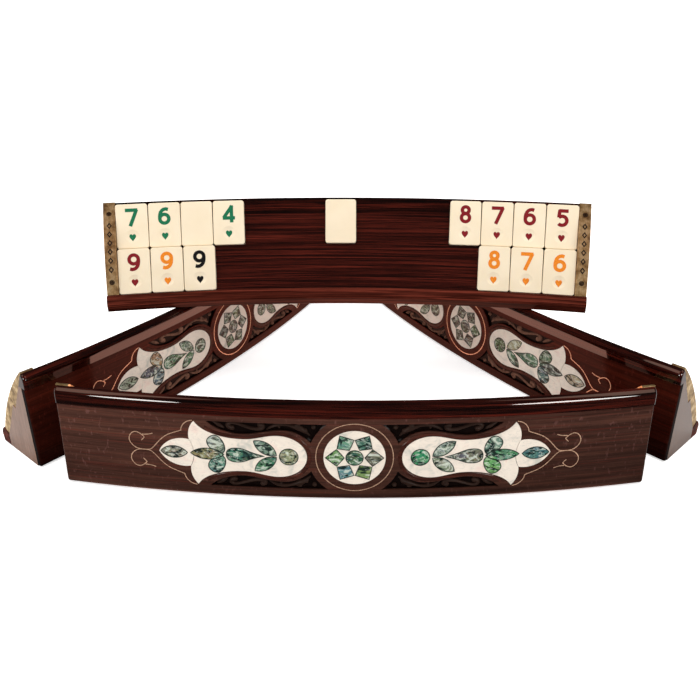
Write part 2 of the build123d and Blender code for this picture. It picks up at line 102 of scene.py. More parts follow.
# --- Node trees -----------------------------------------------------------------------------------
class Tree:
    """A material's nodes, with a short call for each kind that this script uses."""

    def __init__(self, name):
        self.material = bpy.data.materials.new(name)
        self.material.use_nodes = True
        self.tree = self.material.node_tree
        self.tree.nodes.clear()
        output = self.tree.nodes.new("ShaderNodeOutputMaterial")
        self.shader = self.tree.nodes.new("ShaderNodeBsdfPrincipled")
        self.tree.links.new(self.shader.outputs[0], output.inputs["Surface"])

    def node(self, kind, inputs=None, **settings):
        """A new node with its settings, and its inputs as values or as links."""
        made = self.tree.nodes.new(kind)
        for key, value in settings.items():
            setattr(made, key, value)
        for key, value in (inputs or {}).items():
            self.feed(made.inputs[key], value)
        return made

    def feed(self, socket, value):
        if isinstance(value, bpy.types.NodeSocket):
            self.tree.links.new(value, socket)
        elif hasattr(value, "__len__") and len(value) == 3 and len(socket.default_value) == 4:
            socket.default_value = (*value, 1.0)
        else:
            socket.default_value = value

    def set(self, **inputs):
        """Feeds the shader's inputs, with _ for a space in their names."""
        for key, value in inputs.items():
            self.feed(self.shader.inputs[key.replace("_", " ")], value)

    def place(self):
        return self.node("ShaderNodeTexCoord").outputs["Object"]

    def map(self, vector, scale=(1, 1, 1), location=(0, 0, 0), rotation=(0, 0, 0), kind="POINT"):
        inputs = {"Vector": vector, "Location": location, "Rotation": rotation, "Scale": scale}
        return self.node("ShaderNodeMapping", inputs, vector_type=kind).outputs[0]

    def math(self, operation, first, second=0.0):
        return self.node("ShaderNodeMath", {0: first, 1: second}, operation=operation).outputs[0]

    def split(self, vector):
        return self.node("ShaderNodeSeparateXYZ", {0: vector}).outputs

    def join(self, x, y, z):
        return self.node("ShaderNodeCombineXYZ", {0: x, 1: y, 2: z}).outputs[0]

    def noise(self, vector, scale, detail=3.0, roughness=0.5, distortion=0.0):
        inputs = {"Vector": vector, "Scale": scale, "Detail": detail}
        inputs.update({"Roughness": roughness, "Distortion": distortion})
        return self.node("ShaderNodeTexNoise", inputs).outputs["Fac"]

    def ramp(self, factor, *stops):
        """Colours or greys at positions from 0 to 1."""
        made = self.node("ShaderNodeValToRGB", {0: factor})
        elements = made.color_ramp.elements
        while len(elements) < len(stops):
            elements.new(1.0)
        for element, (position, colour) in zip(elements, stops):
            element.position = position
            element.color = (*colour, 1.0) if hasattr(colour, "__len__") else (colour, colour, colour, 1.0)
        return made.outputs[0]

    def mix(self, factor, first, second, blend="MIX"):
        made = self.node("ShaderNodeMix", {"Factor": factor}, data_type="RGBA", blend_type=blend)
        self.feed(made.inputs[6], first)
        self.feed(made.inputs[7], second)
        return made.outputs[2]

    def bump(self, height, distance, strength=1.0):
        inputs = {"Height": height, "Distance": distance, "Strength": strength}
        return self.node("ShaderNodeBump", inputs).outputs[0]

    def rack_space(self, rack):
        """Coordinates in a rack's own frame."""
        matrix = rack_frame[rack]
        turn = (0, 0, matrix.to_euler().z)
        return self.map(self.place(), location=tuple(matrix.translation), rotation=turn, kind="TEXTURE")

    def arc_space(self, rack):
        """Coordinates that follow a rack's curve: along it, depth from its back, height."""
        x, y, z = self.split(self.rack_space(rack))
        inward = self.math("SUBTRACT", ARC_RADIUS, y)
        along = self.math("MULTIPLY", self.math("ARCTAN2", x, inward), ARC_RADIUS)
        squares = self.math("ADD", self.math("MULTIPLY", x, x), self.math("MULTIPLY", inward, inward))
        depth = self.math("SUBTRACT", ARC_RADIUS, self.math("SQRT", squares))
        return self.join(along, depth, z)

    def sunk(self, arc_space, span):
        """How far a place lies below the face of a rack's back, as a share of a span."""
        _, depth, height = self.split(arc_space)
        below = self.math("SUBTRACT", depth, self.math("MULTIPLY", height, PANEL_SLOPE))
        return self.math("MULTIPLY", below, 1 / span)

    def lacquer(self, colour, coat, coat_roughness, roughness=0.5):
        """A matt colour under a clear coat."""
        self.set(Base_Color=colour, Roughness=roughness, Specular_IOR_Level=0.0)
        self.set(Coat_Weight=coat, Coat_Roughness=coat_roughness)


def dress(node_name, material):
    """Gives a CAD node its finish."""
    slots = nodes[node_name].data.materials
    slots.clear()
    slots.append(material)


# --- Woods ----------------------------------------------------------------------------------------
def grain(tree, space, seed, along, across):
    """Streaks that run along a rack: coarse bands, fine lines and short pores, each from 0 to 1."""
    shifted = tree.map(space, location=(seed, seed * 0.37, seed * 0.71))
    bands = tree.noise(tree.map(shifted, scale=(along, across, across)), 1.0, 5.0, 0.6, 0.35)
    lines = tree.noise(tree.map(shifted, scale=(along * 3, across * 4.5, across * 4.5)), 1.0, 3.0, 0.55)
    pores = tree.noise(tree.map(shifted, scale=(90, 2600, 2600)), 1.0, 2.0, 0.5)
    return bands, lines, pores


def dark_wood(rack, name, seed, dark, red, gloss, fineness):
    """Rosewood under thick gloss lacquer: near black, with reddish streaks along the rack."""
    tree = Tree(f"{rack}_{name}")
    bands, lines, pores = grain(tree, tree.arc_space(rack), seed, 5.0, fineness)
    middle = tuple((a + b) / 2.4 for a, b in zip(dark, red))
    colour = tree.ramp(bands, (0.34, dark), (0.50, middle), (0.68, red))
    colour = tree.mix(tree.ramp(lines, (0.40, 0.9), (0.56, 0.0)), colour, dark)
    colour = tree.mix(tree.ramp(pores, (0.30, 0.5), (0.42, 0.0)), colour, (0.004, 0.001, 0.001))
    tree.lacquer(colour, gloss, 0.035)
    ripple = tree.noise(tree.place(), 38.0, 1.0)
    tree.set(Coat_Normal=tree.bump(ripple, 0.00012, 0.35), Normal=tree.bump(lines, 0.00003, 0.3))
    return tree.material


# How much gloss each rack's back keeps: the side racks' are duller.
BACK_GLOSS = {"front_rack": 1.0, "left_rack": 0.2, "right_rack": 0.2, "far_rack": 1.0}

# Painted light and shade: the veneer is painted paler with height and along a rack, by these shares of its colour
# in a metre, as more light falls on its top and on one end.
PANEL_PAINTED_LIGHT_UP = 8.5
PANEL_PAINTED_LIGHT_ALONG = {"front_rack": -0.9, "left_rack": 2.8, "right_rack": -2.8, "far_rack": 0.0}
# The depths that the ramps of the painted shade in the recesses and in the carving span.
RECESS_SHADE_SPAN = 4 * MM
CARVING_SHADE_SPAN = 2.5 * MM


def panel_wood(rack, seed, shade):
    """The back's veneer under satin lacquer: fine reddish streaks, a few flecks, painted light higher up and along
    the rack, and painted shade on the recess floors.
    """
    tree = Tree(f"{rack}_panel_wood")
    space = tree.arc_space(rack)
    bands, lines, pores = grain(tree, space, seed, 6.0, 260.0)
    colour = tree.ramp(
        bands,
        (0.32, (0.038, 0.0165, 0.0115)),
        (0.50, (0.066, 0.0280, 0.0200)),
        (0.68, (0.112, 0.045, 0.030)),
    )
    colour = tree.mix(tree.ramp(lines, (0.38, 0.5), (0.56, 0.0)), colour, (0.034, 0.0135, 0.0095))
    threads = tree.noise(tree.map(space, scale=(14, 900, 900), location=(seed, 0, seed)), 1.0, 2.0)
    colour = tree.mix(tree.ramp(threads, (0.56, 0.0), (0.72, 0.55)), colour, (0.125, 0.026, 0.018))
    slanted = tree.map(space, scale=(420, 300, 210), rotation=(0, 0.5, 0), location=(seed, 0, seed))
    flecks = tree.noise(slanted, 1.0, 2.0)
    colour = tree.mix(tree.ramp(flecks, (0.61, 0.0), (0.75, 0.42)), colour, (0.19, 0.085, 0.075))
    colour = tree.mix(tree.ramp(pores, (0.30, 0.45), (0.42, 0.0)), colour, (0.012, 0.004, 0.003))
    # painted light and shade: the veneer is made darker at its foot, paler towards its top, and graded from end to
    # end
    along, _, height = tree.split(space)
    at_foot = 1.0 - PANEL_PAINTED_LIGHT_UP * ORNAMENT_HEIGHT
    painted_light = tree.math("ADD", tree.math("MULTIPLY", along, PANEL_PAINTED_LIGHT_ALONG[rack]), at_foot)
    painted_light = tree.math("ADD", painted_light, tree.math("MULTIPLY", height, PANEL_PAINTED_LIGHT_UP))
    # the rack's own veneer tone, times the painted light gradient
    tone_and_painted_light = tree.join(*(tree.math("MULTIPLY", painted_light, share) for share in shade))
    colour = tree.mix(1.0, colour, tone_and_painted_light, "MULTIPLY")
    # painted shade: the recess floors are blackened the deeper they lie below the face
    floor = tree.ramp(tree.sunk(space, RECESS_SHADE_SPAN), (0.10, 0.0), (0.42, 1.0))
    colour = tree.mix(floor, colour, (0.0045, 0.0020, 0.0016))
    tree.lacquer(colour, 0.5 * BACK_GLOSS[rack], 0.10)
    tree.set(Normal=tree.bump(lines, 0.00004, 0.4))
    return tree.material


def carving_wood(rack, seed):
    """Carved and oiled wood, with painted shade that darkens it low down in the relief."""
    tree = Tree(f"{rack}_carving_wood")
    space = tree.arc_space(rack)
    bands, lines, _ = grain(tree, space, seed, 20.0, 300.0)
    colour = tree.ramp(bands, (0.3, (0.105, 0.048, 0.032)), (0.7, (0.250, 0.120, 0.080)))
    # painted shade: the carving is darkened the deeper it lies below the face
    low = tree.ramp(tree.sunk(space, CARVING_SHADE_SPAN), (0.38, 0.0), (0.82, 0.90))
    colour = tree.mix(low, colour, (0.008, 0.004, 0.003))
    tree.lacquer(colour, 0.20 * BACK_GLOSS[rack], 0.34, 0.55)
    tree.set(Normal=tree.bump(lines, 0.00006, 0.5))
    return tree.material


def bead_wood(rack, seed):
    """The turned bead round a cartouche: redder wood, lacquered, with fine streaks along the rack."""
    tree = Tree(f"{rack}_bead_wood")
    bands, lines, _ = grain(tree, tree.arc_space(rack), seed + 0.9, 10.0, 320.0)
    colour = tree.ramp(bands, (0.34, (0.030, 0.0080, 0.0050)), (0.66, (0.090, 0.0250, 0.0160)))
    colour = tree.mix(tree.ramp(lines, (0.40, 0.6), (0.56, 0.0)), colour, (0.020, 0.007, 0.005))
    tree.lacquer(colour, 0.8 * BACK_GLOSS[rack], 0.14)
    tree.set(Normal=tree.bump(lines, 0.00004, 0.4))
    return tree.material


def end_wood(rack, seed, shade):
    """The end boards: the same lacquer over paler, close-grained wood."""
    tree = Tree(f"{rack}_end_wood")
    space = tree.rack_space(rack)
    streaks = tree.noise(tree.map(space, scale=(60, 300, 40), location=(seed, 0, 0)), 1.0, 4.0, 0.55, 0.4)
    colour = tree.ramp(streaks, (0.3, (0.150, 0.070, 0.040)), (0.7, (0.230, 0.120, 0.075)))
    fine = tree.noise(tree.map(space, scale=(200, 1500, 160), location=(seed, 0, 0)), 1.0, 2.0)
    colour = tree.mix(tree.ramp(fine, (0.35, 0.35), (0.5, 0.0)), colour, (0.07, 0.035, 0.022))
    colour = tree.mix(1.0, colour, (shade, shade, shade), "MULTIPLY")
    tree.lacquer(colour, 1.0, 0.05)
    return tree.material


# --- Shell ----------------------------------------------------------------------------------------
def pearl(rack, seed):
    """Mother of pearl: cream, with faint pink and grey-green clouds and a few growth lines."""
    tree = Tree(f"{rack}_pearl")
    space = tree.map(tree.rack_space(rack), location=(seed, 0, seed))
    clouds = tree.noise(space, 75.0, 3.0, 0.5, 0.8)
    colour = tree.ramp(
        clouds,
        (0.30, (0.60, 0.58, 0.51)),
        (0.42, (0.84, 0.75, 0.65)),
        (0.58, (0.89, 0.80, 0.69)),
        (0.72, (0.86, 0.69, 0.60)),
    )
    veins = tree.noise(tree.map(space, scale=(1, 1, 2.6), rotation=(0, 0.5, 0)), 95.0, 2.0, 0.5, 1.4)
    vein_mask = tree.ramp(veins, (0.475, 0.0), (0.5, 0.30), (0.525, 0.0))
    colour = tree.mix(vein_mask, colour, (0.44, 0.45, 0.41))
    tree.set(Base_Color=colour, Roughness=0.28, Specular_IOR_Level=0.3 * BACK_GLOSS[rack])
    tree.set(Coat_Weight=0.7 * BACK_GLOSS[rack], Coat_Roughness=0.06)
    tree.set(Normal=tree.bump(clouds, 0.0004, 0.3))
    return tree.material


# The abalone's pieces: a point on each, as its distance from the medallion's centre and its height over the
# medallion's axis, in millimetres.
CARTOUCHE_POINTS = [
    (127, 0), (104, 0.5), (97, 9), (97, -9), (84, 0), (72, 0), (62, 6.5), (62, -6.5), (45.8, 0),
]
MEDALLION_POINTS = [
    (13.7, 0), (6.9, 11.9), (-6.9, 11.9), (-13.7, 0), (-6.9, -11.9), (6.9, -11.9), (0, 0),
]

# Their main colours: the left cartouche's from its tip, the right one's from its tip, and the medallion's.
SHELL_COLOURS = {
    "front_rack": (
        [
            (0.27, 0.20, 0.17), (0.30, 0.22, 0.11), (0.17, 0.18, 0.15), (0.16, 0.30, 0.25),
            (0.06, 0.18, 0.13), (0.03, 0.06, 0.05), (0.24, 0.32, 0.26), (0.04, 0.18, 0.10),
            (0.34, 0.32, 0.19),
        ],
        [
            (0.07, 0.17, 0.20), (0.06, 0.26, 0.12), (0.19, 0.28, 0.22), (0.16, 0.42, 0.12),
            (0.20, 0.15, 0.11), (0.14, 0.11, 0.12), (0.24, 0.28, 0.24), (0.26, 0.27, 0.20),
            (0.03, 0.28, 0.12),
        ],
        [
            (0.20, 0.14, 0.11), (0.03, 0.11, 0.11), (0.14, 0.32, 0.23), (0.20, 0.36, 0.12),
            (0.12, 0.26, 0.32), (0.26, 0.36, 0.11), (0.04, 0.12, 0.05),
        ],
    ),
    "left_rack": (
        [
            (0.30, 0.38, 0.30), (0.12, 0.12, 0.17), (0.42, 0.22, 0.12), (0.10, 0.15, 0.24),
            (0.04, 0.17, 0.09), (0.03, 0.11, 0.06), (0.10, 0.16, 0.12), (0.04, 0.14, 0.07),
            (0.09, 0.14, 0.10),
        ],
        [
            (0.16, 0.30, 0.25), (0.10, 0.20, 0.14), (0.12, 0.20, 0.20), (0.20, 0.30, 0.14),
            (0.12, 0.22, 0.16), (0.10, 0.12, 0.10), (0.11, 0.15, 0.14), (0.10, 0.18, 0.12),
            (0.12, 0.16, 0.12),
        ],
        [
            (0.09, 0.12, 0.11), (0.20, 0.22, 0.12), (0.07, 0.12, 0.11), (0.10, 0.13, 0.12),
            (0.05, 0.12, 0.07), (0.07, 0.12, 0.07), (0.09, 0.10, 0.09),
        ],
    ),
    "right_rack": (
        [
            (0.16, 0.30, 0.25), (0.10, 0.20, 0.14), (0.12, 0.20, 0.20), (0.20, 0.30, 0.14),
            (0.12, 0.22, 0.16), (0.10, 0.12, 0.10), (0.14, 0.16, 0.14), (0.12, 0.18, 0.12),
            (0.14, 0.17, 0.12),
        ],
        [
            (0.58, 0.44, 0.31), (0.13, 0.13, 0.14), (0.11, 0.19, 0.13), (0.06, 0.12, 0.16),
            (0.06, 0.18, 0.11), (0.04, 0.12, 0.08), (0.46, 0.39, 0.26), (0.05, 0.13, 0.08),
            (0.04, 0.09, 0.045),
        ],
        [
            (0.06, 0.13, 0.07), (0.09, 0.11, 0.09), (0.10, 0.10, 0.08), (0.12, 0.12, 0.11),
            (0.10, 0.12, 0.09), (0.08, 0.09, 0.07), (0.09, 0.09, 0.07),
        ],
    ),
}
SHELL_COLOURS["far_rack"] = (
    SHELL_COLOURS["front_rack"][1],
    SHELL_COLOURS["left_rack"][0],
    SHELL_COLOURS["front_rack"][2],
)


def shell_pieces(rack):
    """Each piece of a rack's abalone, as its point and its main colour."""
    left, right, middle = SHELL_COLOURS[rack]
    points = [(-along, over) for along, over in CARTOUCHE_POINTS] + CARTOUCHE_POINTS + MEDALLION_POINTS
    return list(zip(points, left + right + middle))


def abalone(rack, seed):
    """Abalone: each piece has its own colour, broken by swirls of teal, green and near black."""
    tree = Tree(f"{rack}_abalone")
    space = tree.rack_space(rack)
    colour = (0.1, 0.2, 0.15)
    nearest = 1.0
    x, _, z = tree.split(space)
    flat = tree.join(x, 0.0, z)
    for (along, over), piece_colour in shell_pieces(rack):
        centre = (along * MM, 0.0, ORNAMENT_HEIGHT + over * MM)
        apart = tree.node("ShaderNodeVectorMath", {0: flat, 1: centre}, operation="DISTANCE")
        distance = apart.outputs["Value"]
        closer = tree.math("LESS_THAN", distance, nearest)
        colour = tree.mix(closer, colour, piece_colour)
        nearest = tree.math("MINIMUM", distance, nearest)
    flow = tree.map(space, scale=(1, 1, 1.7), rotation=(0, 0.6, 0), location=(seed, 0, seed))
    hue = tree.noise(flow, 62.0, 1.0, 0.5, 1.5)
    shell = tree.ramp(
        hue,
        (0.36, (0.015, 0.110, 0.105)),
        (0.45, (0.035, 0.230, 0.120)),
        (0.52, (0.180, 0.360, 0.130)),
        (0.59, (0.240, 0.170, 0.130)),
        (0.68, (0.060, 0.160, 0.220)),
    )
    colour = tree.mix(0.26, colour, shell)
    swirl = tree.noise(flow, 78.0, 1.6, 0.5, 2.6)
    colour = tree.mix(tree.ramp(swirl, (0.39, 0.95), (0.465, 0.0)), colour, (0.005, 0.018, 0.016))
    colour = tree.mix(tree.ramp(swirl, (0.555, 0.0), (0.63, 0.80)), colour, (0.62, 0.68, 0.58))
    lines = tree.noise(tree.map(flow, location=(0, 0.31, 0.13)), 92.0, 1.2, 0.5, 3.2)
    vein = tree.ramp(lines, (0.458, 0.0), (0.476, 0.95), (0.496, 0.0))
    colour = tree.mix(vein, colour, (0.004, 0.010, 0.009))
    light = tree.ramp(lines, (0.58, 0.0), (0.63, 0.55), (0.68, 0.0))
    colour = tree.mix(light, colour, (0.70, 0.76, 0.68))
    tree.set(Base_Color=colour, Roughness=0.25, Specular_IOR_Level=0.3 * BACK_GLOSS[rack])
    tree.set(Coat_Weight=0.8 * BACK_GLOSS[rack], Coat_Roughness=0.05)
    return tree.material


# --- Metals ---------------------------------------------------------------------------------------
def brass(rack, seed):
    """Old brass: brushed along the stop, with brown patina in patches."""
    tree = Tree(f"{rack}_brass")
    space = tree.map(tree.rack_space(rack), location=(seed, 0, 0))
    patina = tree.noise(space, 150.0, 4.0, 0.6)
    brushed = tree.noise(tree.map(space, scale=(1600, 90, 90)), 1.0, 2.0)
    colour = tree.ramp(
        patina,
        (0.36, (0.24, 0.145, 0.062)),
        (0.50, (0.56, 0.38, 0.180)),
        (0.64, (0.86, 0.65, 0.36)),
    )
    colour = tree.mix(tree.ramp(brushed, (0.4, 0.25), (0.6, 0.0)), colour, (0.16, 0.095, 0.040))
    tree.set(Base_Color=colour, Metallic=0.85, Roughness=tree.ramp(patina, (0.35, 0.50), (0.7, 0.36)))
    tree.set(Normal=tree.bump(brushed, 0.00003, 0.6))
    return tree.material


def plain_metal(name, colour, roughness, metallic=1.0):
    """A metal with fine wear."""
    tree = Tree(name)
    wear = tree.noise(tree.place(), 900.0, 3.0, 0.6)
    darker = tuple(channel * 0.55 for channel in colour)
    tree.set(Base_Color=tree.ramp(wear, (0.4, darker), (0.6, colour)))
    tree.set(Metallic=metallic, Roughness=roughness)
    tree.set(Normal=tree.bump(wear, 0.00005, 0.4))
    return tree.material


def filler(name, colour, roughness=0.5):
    """A paint or filler with slight mottling."""
    tree = Tree(name)
    mottle = tree.noise(tree.place(), 700.0, 2.0)
    lighter = tuple(min(1.0, channel * 1.25 + 0.004) for channel in colour)
    tree.set(Base_Color=tree.ramp(mottle, (0.35, colour), (0.7, lighter)))
    tree.set(Roughness=roughness, Specular_IOR_Level=0.2)
    return tree.material


def tile_resin():
    """Cream tile resin, polished, with the faintest clouding."""
    tree = Tree("tile_resin")
    clouds = tree.noise(tree.place(), 55.0, 3.0)
    colour = tree.ramp(clouds, (0.35, (0.90, 0.765, 0.560)), (0.65, (0.93, 0.80, 0.60)))
    tree.set(Base_Color=colour, Roughness=0.30, Specular_IOR_Level=0.3)
    tree.set(Coat_Weight=0.4, Coat_Roughness=0.08)
    tree.set(Subsurface_Weight=0.08, Subsurface_Scale=0.002, Subsurface_Radius=(1.0, 0.8, 0.5))
    tree.set(Normal=tree.bump(tree.noise(tree.place(), 900.0, 2.0), 0.00001, 0.4))
    return tree.material


copper = plain_metal("copper_wire", (0.80, 0.50, 0.33), 0.45, metallic=0.45)
screw_metal = plain_metal("screw_metal", (0.16, 0.11, 0.07), 0.4)
filler_line = filler("shell_filler", (0.006, 0.022, 0.014))
engraving = filler("stop_engraving", (0.016, 0.010, 0.006))

# A rack's dark woods: name, shift of the seed, ground, streaks, gloss, and fineness of the grain.
DARK_WOODS = {
    "core": ("seat_wood", 0.0, (0.009, 0.0012, 0.0008), (0.132, 0.0185, 0.0105), 1.0, 380.0),
    "ledge": ("ledge_wood", 0.4, (0.026, 0.0045, 0.0026), (0.210, 0.0400, 0.0240), 0.15, 230.0),
    "top_rail": ("rail_wood", 0.8, (0.0015, 0.0003, 0.0002), (0.085, 0.0105, 0.0055), 1.0, 230.0),
}

# Each rack's veneer colour is scaled by its own shares of red, green and blue, and its end boards' colour by one
# share.
PANEL_SHADE = {
    "front_rack": (0.84, 0.82, 0.82),
    "left_rack": (1.05, 0.42, 0.33),
    "right_rack": (0.92, 0.35, 0.27),
    "far_rack": (1.0, 0.9, 0.9),
}
END_SHADE = {"front_rack": 0.8, "left_rack": 1.15, "right_rack": 0.6, "far_rack": 0.8}


def rack_seed(rack):
    """Where a rack's grain and clouds start, so that no two racks look alike."""
    return 3.1 + 1.7 * RACKS.index(rack)


for rack in RACKS:
    seed = rack_seed(rack)
    for part, (name, shift, dark, red, gloss, fineness) in DARK_WOODS.items():
        dress(f"{rack}_{part}", dark_wood(rack, name, seed + shift, dark, red, gloss, fineness))
    dress(rack + "_end_cheeks", end_wood(rack, seed, END_SHADE[rack]))
    dress(rack + "_back_panel", panel_wood(rack, seed, PANEL_SHADE[rack]))
    dress(rack + "_pearl_inlay", pearl(rack, seed))
    dress(rack + "_abalone_inlay", abalone(rack, seed))
    dress(rack + "_wire_inlay", copper)
    dress(rack + "_end_stops", brass(rack, seed))
    dress(rack + "_stop_screws", screw_metal)

resin = tile_resin()
tiles = [name for name in nodes if name.startswith("tile_")]
for tile in tiles:
    dress(tile, resin)


# --- Meshes ---------------------------------------------------------------------------------------
def add_object(name, data, material, body, matrix):
    """A new piece with its material, placed and riding on a body."""
    piece = bpy.data.objects.new(name, data)
    scene.collection.objects.link(piece)
    data.materials.clear()
    data.materials.append(material)
    piece.matrix_world = matrix
    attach(piece, body)
    return piece


def as_mesh(thing):
    """An object's final mesh, as data of its own. The object is removed."""
    bpy.context.view_layer.update()
    evaluated = thing.evaluated_get(bpy.context.evaluated_depsgraph_get())
    mesh = bpy.data.meshes.new_from_object(evaluated)
    bpy.data.objects.remove(thing)
    return mesh


# --- Numerals and hearts on the tiles ---------------------------------------------------------------
STROKE_WIDTH = 3.0 * MM
STROKE_STEP = 0.1                 # each stroke is this share thicker than the last, so no faces coincide
NUMERAL_THICKNESS = 0.12 * MM
NUMERAL_CENTRE = 7.6 * MM        # over the tile's middle
HEART_CENTRE = -9.4 * MM
HEART_HALF_WIDTH = 2.75 * MM
HEART_WAVES = (12.4, -4.2, -1.6, -0.6)    # sizes of the cosines that make its outline's height
HEART_WAVE_UNIT = 11.2                    # so much of them is half its width
HEART_POINTS = 48
TILE_THICKNESS = 6 * MM
DIMPLE_CENTRE = -8.55 * MM
DIMPLE_RADIUS = 5.6 * MM
DIMPLE_DEPTH = 0.9 * MM
PAINT_STAND = 0.02 * MM


def arc(centre, radius, start, end, steps=24):
    """Points of an arc, in millimetres and degrees."""
    turns = [radians(start + (end - start) * i / steps) for i in range(steps + 1)]
    return [(centre[0] + radius * cos(a), centre[1] + radius * sin(a)) for a in turns]


NINE_TAIL = [
    (3.8, 2.6), (3.8, 0.6), (3.5, -1.6), (2.8, -3.5), (1.7, -4.9), (0.2, -5.8), (-1.5, -6.1), (-3.4, -5.6),
]

# Each numeral is its strokes' middle lines, from its own middle, in millimetres. It is 15.2 tall.
NUMERAL_STROKES = {
    "4": [[(2.6, -7.6), (2.6, 7.3)], [(3.2, 7.0), (-4.2, -3.4)], [(-5.0, -3.6), (5.5, -3.6)]],
    "5": [[(4.6, 6.2), (-3.2, 6.2)], [(-2.6, 7.0), (-3.2, 0.4)], arc((-0.3, -2.3), 3.9, 138, -138)],
    "6": [arc((0, -2.4), 3.8, 0, 360), [(-x, -y) for x, y in NINE_TAIL]],
    "7": [[(-5.2, 6.2), (5.2, 6.2)], [(4.4, 6.6), (-1.4, -7.6)]],
    "8": [arc((0, 3.6), 2.9, 0, 360), arc((0, -3.0), 3.5, 0, 360)],
    "9": [arc((0, 2.4), 3.8, 0, 360), NINE_TAIL],
}


def stroke_solid(points, width, thickness):
    """A flat solid strip along points, in the XY plane, as an object."""
    closed = hypot(points[0][0] - points[-1][0], points[0][1] - points[-1][1]) < 1e-6
    line = [Vector((x, y, 0)) for x, y in points]
    if closed:
        line.pop()
    heights = (-thickness / 2, thickness / 2)
    mesh = bmesh.new()
    rings = []
    count = len(line)
    for index, point in enumerate(line):
        before = line[index - 1] if (closed or index) else point
        after = line[(index + 1) % count] if (closed or index < count - 1) else point
        along = (after - before).normalized()
        side = Vector((-along.y, along.x, 0)) * width / 2
        corners = [(c.x, c.y, z) for c in (point + side, point - side) for z in heights]
        rings.append([mesh.verts.new(corner) for corner in corners])
    pairs = list(zip(rings, rings[1:] + rings[:1])) if closed else list(zip(rings, rings[1:]))
    for (a, b, c, d), (e, f, g, h) in pairs:
        for face in ((b, d, h, f), (a, e, g, c), (a, b, f, e), (c, g, h, d)):
            mesh.faces.new(face)
    if not closed:
        for a, b, c, d in (rings[0], rings[-1]):
            mesh.faces.new((a, b, d, c))
    bmesh.ops.recalc_face_normals(mesh, faces=mesh.faces)
    data = bpy.data.meshes.new("stroke")
    mesh.to_mesh(data)
    mesh.free()
    made = bpy.data.objects.new("stroke", data)
    scene.collection.objects.link(made)
    return made


def numeral_mesh(numeral):
    """The numeral as one flat solid, its strokes joined."""
    strokes = []
    for index, points in enumerate(NUMERAL_STROKES[numeral]):
        line = [(x * MM, y * MM) for x, y in points]
        strokes.append(stroke_solid(line, STROKE_WIDTH, NUMERAL_THICKNESS * (1 + STROKE_STEP * index)))
    whole, *others = strokes
    for other in others:
        union = whole.modifiers.new("join", "BOOLEAN")
        union.operation = "UNION"
        union.object = other
    mesh = as_mesh(whole)
    for other in others:
        bpy.data.objects.remove(other)
    mesh.name = "numeral_" + numeral
    return mesh


def dimple_drop(x, y):
    """How far the dimple's surface lies below a tile's face, at a place from the dimple's centre."""
    ball = (DIMPLE_RADIUS**2 + DIMPLE_DEPTH**2) / (2 * DIMPLE_DEPTH)
    return sqrt(ball**2 - x * x - y * y) - (ball - DIMPLE_DEPTH)


def heart_mesh():
    """A thin painted heart that follows the dimple, from the middle of the tile's face."""
    mesh = bmesh.new()
    layers = []
    for lift in (PAINT_STAND + NUMERAL_THICKNESS / 2, -NUMERAL_THICKNESS / 2):
        rings = []
        for share in (0.34, 0.67, 1.0):
            ring = []
            for index in range(HEART_POINTS):
                turn = 2 * pi * index / HEART_POINTS
                wave = sum(size * cos((order + 1) * turn) for order, size in enumerate(HEART_WAVES))
                x = sin(turn) ** 3 * HEART_HALF_WIDTH * share
                y = wave / HEART_WAVE_UNIT * HEART_HALF_WIDTH * share
                drop = dimple_drop(x, y + HEART_CENTRE - DIMPLE_CENTRE)
                ring.append(mesh.verts.new((x, y + HEART_CENTRE, lift - drop)))
            rings.append(ring)
        centre = mesh.verts.new((0, HEART_CENTRE, lift - dimple_drop(0, HEART_CENTRE - DIMPLE_CENTRE)))
        for index in range(HEART_POINTS):
            following = (index + 1) % HEART_POINTS
            mesh.faces.new((centre, rings[0][index], rings[0][following]))
            for inner, outer in zip(rings, rings[1:]):
                mesh.faces.new((inner[index], outer[index], outer[following], inner[following]))
        layers.append(rings[-1])
    top, foot = layers
    for index in range(HEART_POINTS):
        following = (index + 1) % HEART_POINTS
        mesh.faces.new((top[index], foot[index], foot[following], top[following]))
    bmesh.ops.recalc_face_normals(mesh, faces=mesh.faces)
    for face in mesh.faces:
        face.smooth = True
    data = bpy.data.meshes.new("heart")
    mesh.to_mesh(data)
    mesh.free()
    return data


def tile_frame(tile):
    """A matrix with its origin in the middle of a tile's face, Y up the tile and Z out of its face."""
    low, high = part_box(tile)
    place = rack_frame["far_rack"].inverted() @ ((low + high) / 2)
    to_player = rack_frame["far_rack"].to_3x3() @ Vector((-place.x, ARC_RADIUS - place.y, 0)).normalized()
    out = to_player * cos(SEAT_LEAN) + Vector((0, 0, sin(SEAT_LEAN)))
    right = Vector((0, 0, 1)).cross(out).normalized()
    up = out.cross(right)
    turn = Matrix((right, up, out)).transposed().to_4x4()
    return Matrix.Translation((low + high) / 2 + out * TILE_THICKNESS / 2) @ turn


numeral_paint = {
    "green": filler("paint_green", (0.005, 0.150, 0.065), 0.4),
    "red": filler("paint_red", (0.200, 0.003, 0.008), 0.4),
    "orange": filler("paint_orange", (0.730, 0.205, 0.008), 0.4),
    "black": filler("paint_black", (0.004, 0.004, 0.005), 0.35),
}
numeral_meshes = {numeral: numeral_mesh(numeral) for numeral in NUMERAL_STROKES}
heart = heart_mesh()
numeral_shift = Matrix.Translation((0, NUMERAL_CENTRE, PAINT_STAND))

for tile in tiles:
    _, colour, numeral = tile.split("_")
    if colour not in numeral_paint:
        continue
    face = tile_frame(tile)
    paint = numeral_paint[colour]
    numeral_data = numeral_meshes[numeral].copy()
    add_object(f"numeral_{colour}_{numeral}", numeral_data, paint, tile, face @ numeral_shift)
    add_object(f"heart_{colour}_{numeral}", heart.copy(), paint, tile, face)


# --- Filler lines round the abalone -----------------------------------------------------------------
FILLER_RADIUS = 0.34 * MM


